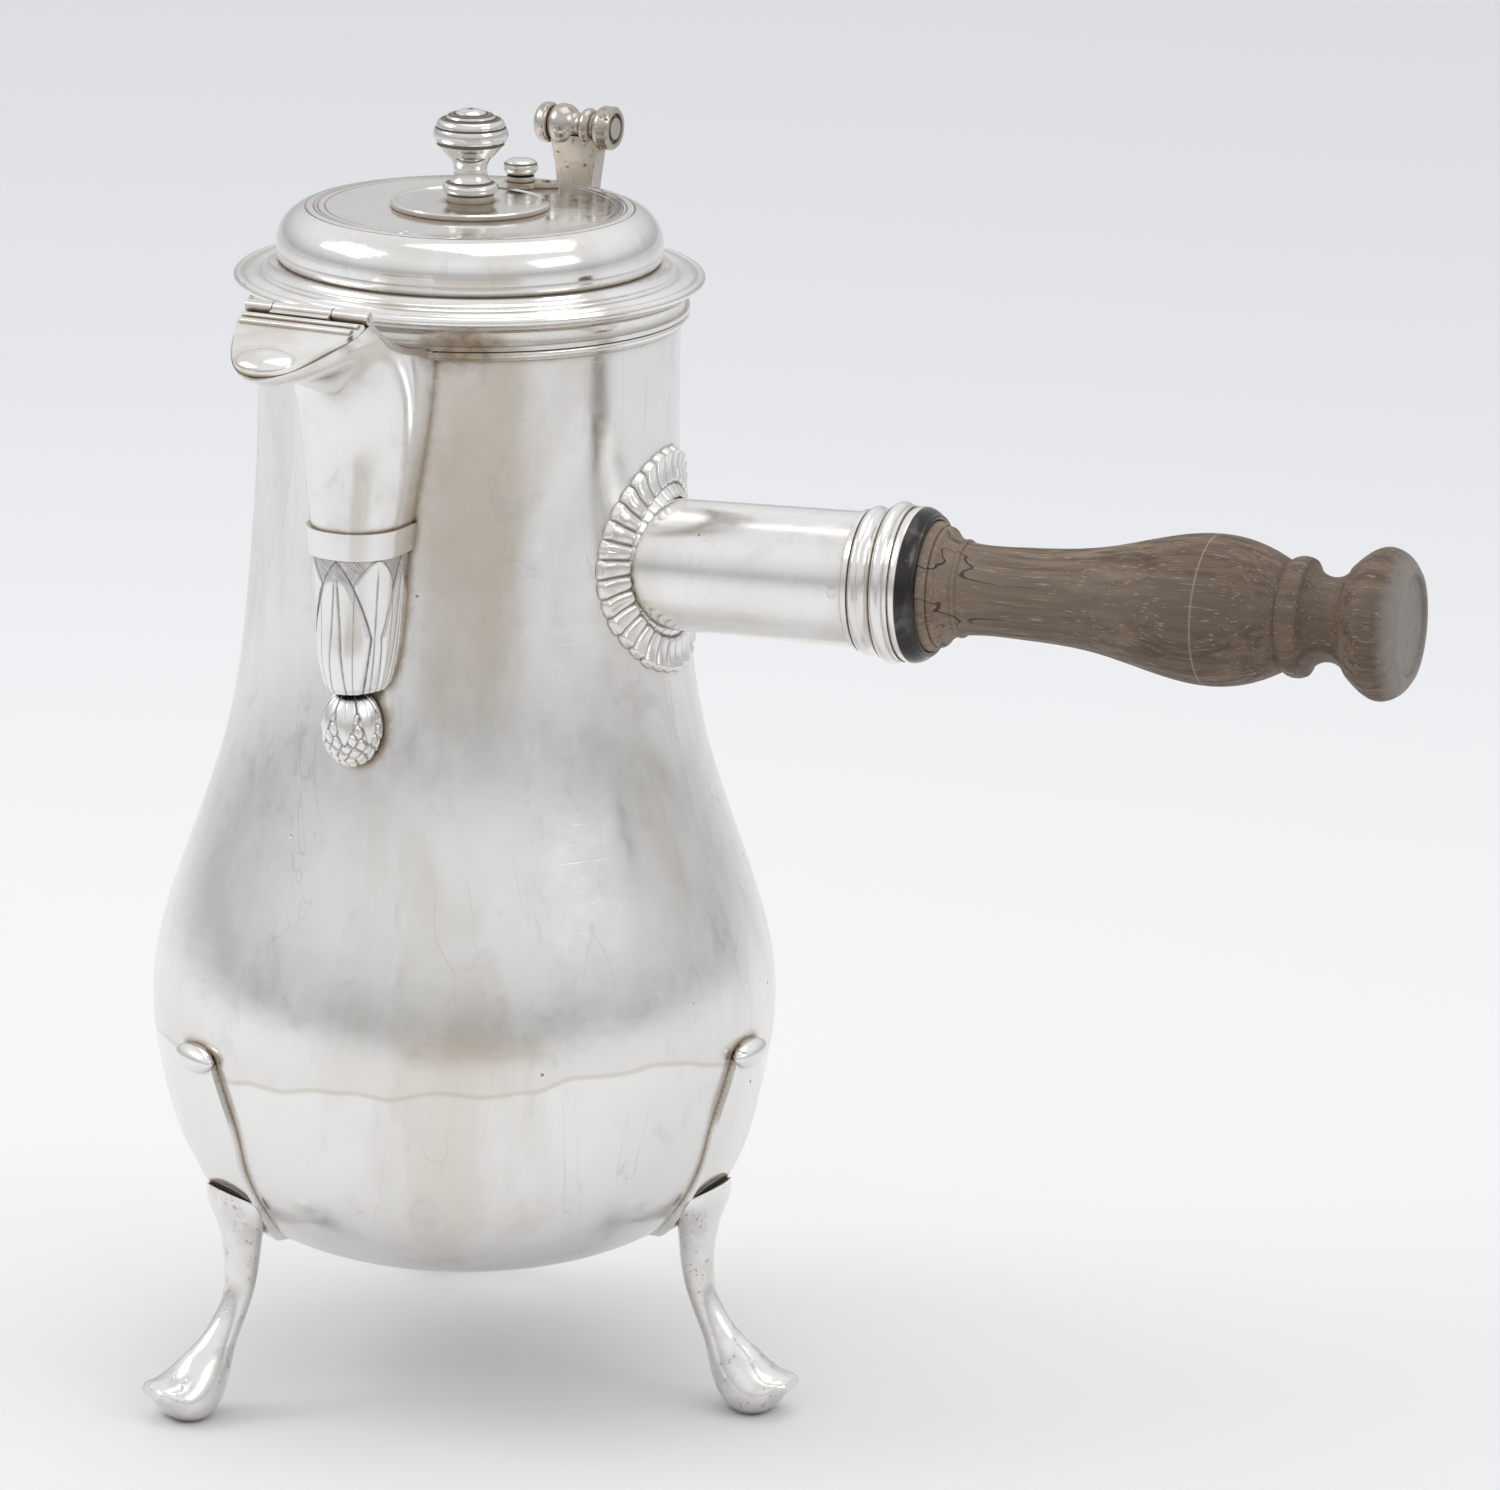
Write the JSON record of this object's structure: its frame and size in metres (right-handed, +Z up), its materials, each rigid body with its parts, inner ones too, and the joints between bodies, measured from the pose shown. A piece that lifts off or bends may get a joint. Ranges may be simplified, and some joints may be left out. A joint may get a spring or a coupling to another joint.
{
  "type": "coffee pot",
  "caption": "Pear-shaped silver coffee pot on three cast legs, with a flapped spout, a hinged cover with a swivelling finial disc and a turned wooden side handle.",
  "frame": {"origin": "middle of the underside of the whole pot's box, on the table", "axes": "+X towards the wooden handle's end, -Y the way the spout points, +Z up; the cover hinge is on the +Y side"},
  "size_m": [0.27, 0.1632, 0.2702],
  "materials": {
    "body_silver": "polished",
    "cast_silver": "polished",
    "cover_silver": "polished",
    "finial_silver": "polished",
    "moulding_silver": "polished",
    "ornament_silver": "polished",
    "pin_silver": "polished",
    "plate_silver": "polished",
    "socket_silver": "polished",
    "spout_silver": "polished",
    "tarnished_silver": "satin",
    "thumb_silver": "polished",
    "wood": "matte"
  },
  "bodies": {
    "pot": {"body_shell": "body_silver", "rim_band": "moulding_silver", "spout_body": "spout_silver", "spout_leaf_mount": "ornament_silver", "spout_strap": "spout_silver", "spout_berry": "ornament_silver", "spout_bridge": "spout_silver", "spout_hinge_knuckles": "spout_silver", "spout_hinge_pin": "pin_silver", "cover_hinge_bracket": "thumb_silver", "cover_hinge_pin": "pin_silver", "handle_rosette": "ornament_silver", "handle_socket": "socket_silver", "handle_collar": "socket_silver", "handle_end_ring": "tarnished_silver", "handle_grip": "wood", "handle_pin": "pin_silver", "leg_handle_side": "cast_silver", "leg_spout_side": "cast_silver", "leg_back": "cast_silver", "leg_plate_handle_side": "plate_silver", "leg_plate_spout_side": "plate_silver", "leg_plate_back": "plate_silver"},
    "cover": {"cover": "cover_silver", "cover_bezel": "moulding_silver", "stirrer_bezel": "moulding_silver", "cover_hinge_leaf": "thumb_silver", "cover_thumbpiece": "thumb_silver", "swivel_pivot": "finial_silver", "pivot_washer": "finial_silver"},
    "swivel": {"swivel_disc": "finial_silver", "finial": "finial_silver", "finial_rivet": "finial_silver"},
    "flap": {"spout_flap": "spout_silver", "spout_flap_knuckle": "spout_silver"}
  },
  "joints": [
    {"name": "cover_hinge", "type": "hinge", "parent": "pot", "child": "cover", "pos_m": [-0.06958, 0.06455, 0.2346], "axis": [-1, 0, 0], "range_deg": [0, 105]},
    {"name": "disc_swivel", "type": "hinge", "parent": "cover", "child": "swivel", "pos_m": [-0.06958, 0.03595, 0.2506], "axis": [0, 0, 1], "range_deg": [-90, 90]},
    {"name": "spout_flap_hinge", "type": "hinge", "parent": "pot", "child": "flap", "pos_m": [-0.06958, -0.05765, 0.24075], "axis": [-1, 0, 0], "range_deg": [0, 110]}
  ]
}
